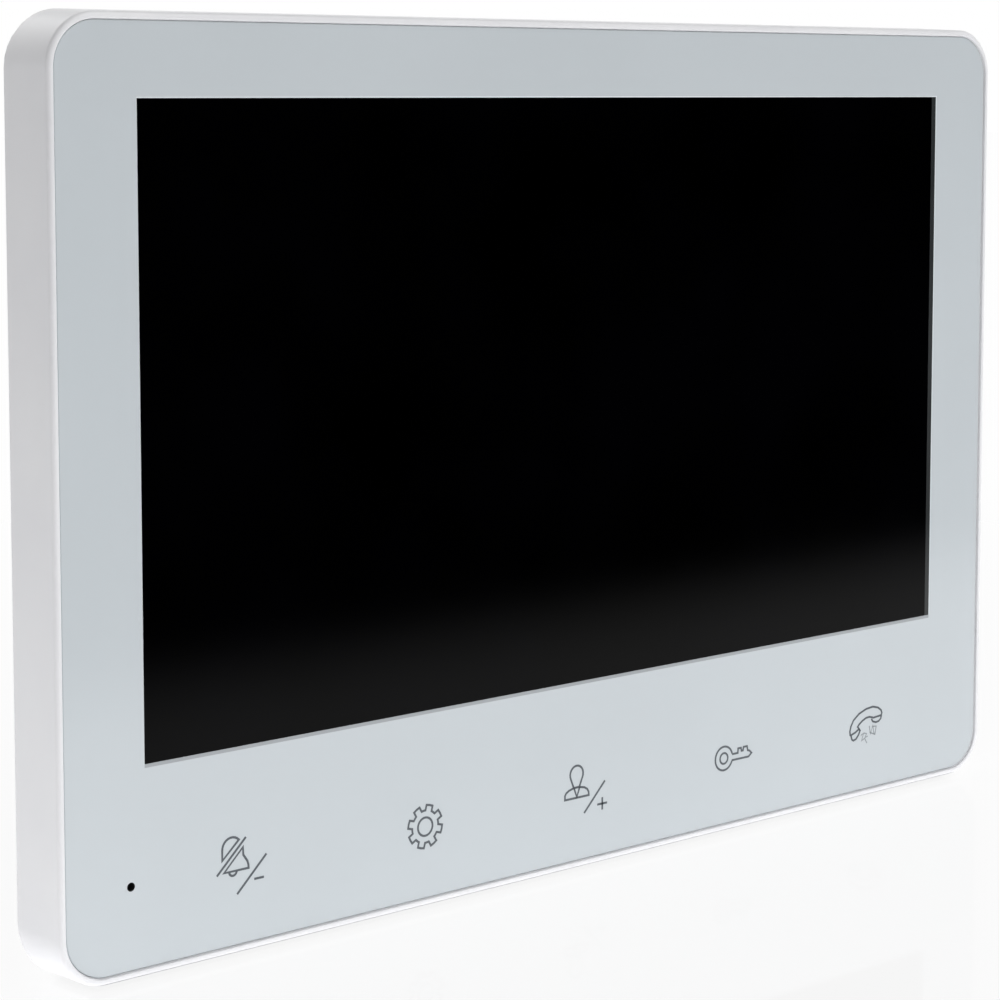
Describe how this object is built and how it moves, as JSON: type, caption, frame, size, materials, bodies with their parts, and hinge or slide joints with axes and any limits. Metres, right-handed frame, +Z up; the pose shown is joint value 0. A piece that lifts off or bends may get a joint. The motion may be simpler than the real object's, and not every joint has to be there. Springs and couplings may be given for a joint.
{
  "type": "video intercom monitor",
  "caption": "Wall-hung indoor video intercom monitor with a flush glass front, touch keys, speaker, microphone and a lift-off steel bracket.",
  "frame": {"origin": "centre of the wall bracket's back face, on the wall plane, level with the middle of the case", "axes": "+X to the right as seen from the front, +Y into the wall, +Z up; the glass faces -Y"},
  "size_m": [0.183, 0.0205, 0.1264],
  "materials": {
    "white_abs": "satin white moulded ABS with a fine grain",
    "panel_glass": "clear panel printed pale blue-white on its back, with a black window",
    "lcd_glass": "dark switched-off display",
    "backlight_can": "bare pressed can",
    "zinc_steel": "zinc-plated steel",
    "black_foam": "matt black foam",
    "circuit_board": "green solder mask",
    "chip_black": "moulded epoxy",
    "plated_can": "bright plated can",
    "socket_ivory": "ivory nylon",
    "ribbon_amber": "amber polyimide film",
    "lead_black": "black insulated wire",
    "boot_rubber": "matt black rubber",
    "speaker_basket": "black painted steel",
    "magnet": "dark sintered magnet",
    "speaker_paper": "black pressed paper",
    "knob_grey": "dark grey moulded plastic"
  },
  "bodies": {
    "bracket": {"wall_bracket": "zinc_steel"},
    "monitor": {"front_housing": "white_abs", "rear_cover": "white_abs", "front_glass": "panel_glass", "lcd_panel": "lcd_glass", "lcd_backlight": "backlight_can", "chassis_plate": "zinc_steel", "case_screw_1": "zinc_steel", "case_screw_2": "zinc_steel", "case_screw_3": "zinc_steel", "case_screw_4": "zinc_steel", "chassis_screw_1": "zinc_steel", "chassis_screw_2": "zinc_steel", "chassis_screw_3": "zinc_steel", "chassis_screw_4": "zinc_steel", "board_screw_1": "zinc_steel", "board_screw_2": "zinc_steel", "board_screw_3": "zinc_steel", "board_screw_4": "zinc_steel", "touch_board_screw_1": "zinc_steel", "touch_board_screw_2": "zinc_steel", "glass_tape": "black_foam", "lcd_gasket": "black_foam", "speaker_gasket": "black_foam", "key_pad_1": "black_foam", "key_pad_2": "black_foam", "key_pad_3": "black_foam", "key_pad_4": "black_foam", "key_pad_5": "black_foam", "main_board": "circuit_board", "touch_board": "circuit_board", "video_processor": "chip_black", "memory_chip": "chip_black", "flash_chip": "chip_black", "audio_chip": "chip_black", "power_inductor": "chip_black", "clock_crystal": "plated_can", "capacitor_1": "plated_can", "capacitor_2": "plated_can", "microphone": "plated_can", "power_switch_body": "plated_can", "door_socket_1": "socket_ivory", "door_socket_2": "socket_ivory", "link_socket": "socket_ivory", "power_socket": "socket_ivory", "lcd_connector": "socket_ivory", "touch_connector": "socket_ivory", "lcd_cable": "ribbon_amber", "touch_cable": "ribbon_amber", "microphone_lead": "lead_black", "speaker_lead": "lead_black", "microphone_boot": "boot_rubber", "speaker_frame": "speaker_basket", "speaker_magnet": "magnet", "speaker_cone": "speaker_paper"},
    "power_switch": {"power_switch_knob": "knob_grey"}
  },
  "joints": [
    {"name": "lift_off", "type": "slide", "parent": "bracket", "child": "monitor", "axis": [0, 0, 1], "range_m": [0, 0.006]},
    {"name": "power_switch_slide", "type": "slide", "parent": "monitor", "child": "power_switch", "axis": [0, 0, 1], "range_m": [0, 0.003]}
  ]
}
